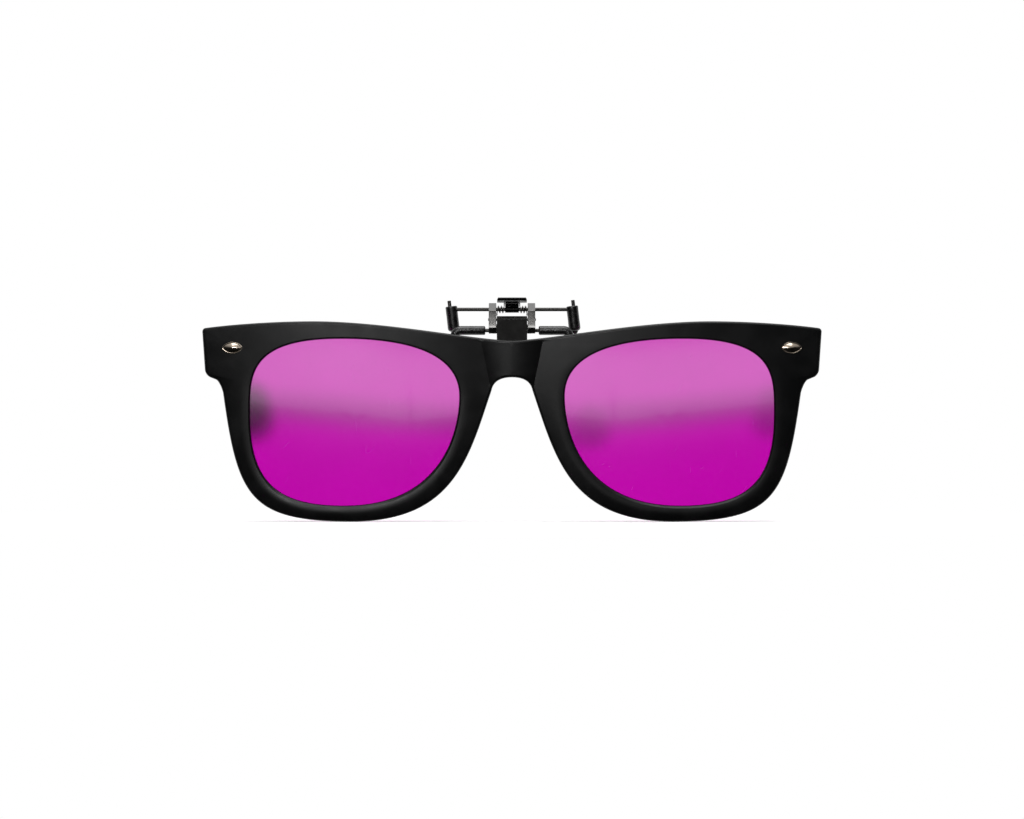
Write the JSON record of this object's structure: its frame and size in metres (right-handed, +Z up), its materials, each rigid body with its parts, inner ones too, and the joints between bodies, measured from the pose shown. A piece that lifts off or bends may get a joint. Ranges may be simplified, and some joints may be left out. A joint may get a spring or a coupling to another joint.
{
  "type": "flip-up clip-on glasses",
  "caption": "Flip-up clip-on glasses: a matte black front with magenta colour-filter lenses, hinged to a sprung metal clamp that grips another pair of glasses.",
  "frame": {"origin": "seat of the clamp: midway between the closed front and rear jaws, on the centre plane", "axes": "+X along the width of the front, to the right as its face is looked at; +Y back towards the wearer; +Z up"},
  "size_m": [0.144, 0.0105, 0.052],
  "materials": {
    "black_plastic": "fine matte black moulding",
    "tinted_lens": "polished, magenta tint all through, lightly mirrored",
    "polished_stud": "polished, warm nickel",
    "gun_metal": "dark gun-metal plating, satin",
    "wire_metal": "dark gun-metal plated wire",
    "bright_steel": "bright steel",
    "black_rubber": "smooth black rubber, slightly shiny"
  },
  "bodies": {
    "clip": {"clip_body": "gun_metal", "flip_pin": "bright_steel", "front_claw": "wire_metal", "front_sleeve_left": "black_rubber", "front_sleeve_right": "black_rubber", "clamp_spring": "bright_steel"},
    "front": {"front_frame": "black_plastic", "lens_left": "tinted_lens", "lens_right": "tinted_lens", "stud_left": "polished_stud", "stud_right": "polished_stud", "flip_plate": "gun_metal", "plate_screw_upper": "bright_steel", "plate_screw_lower": "bright_steel"},
    "jaw": {"rear_claw": "wire_metal", "rear_sleeve_left": "black_rubber", "rear_sleeve_right": "black_rubber", "thumb_lever": "gun_metal"}
  },
  "joints": [
    {"name": "flip", "type": "hinge", "parent": "clip", "child": "front", "pos_m": [0, -0.00377, 0.0027], "axis": [-1, 0, 0], "range_deg": [0, 90]},
    {"name": "clamp", "type": "hinge", "parent": "clip", "child": "jaw", "pos_m": [0, 0.00111, 0.0051], "axis": [1, 0, 0], "range_deg": [0, 27], "stiffness_Nm_per_rad": 0.02, "springref_deg": -28.65, "deforming": ["clamp_spring"]}
  ]
}
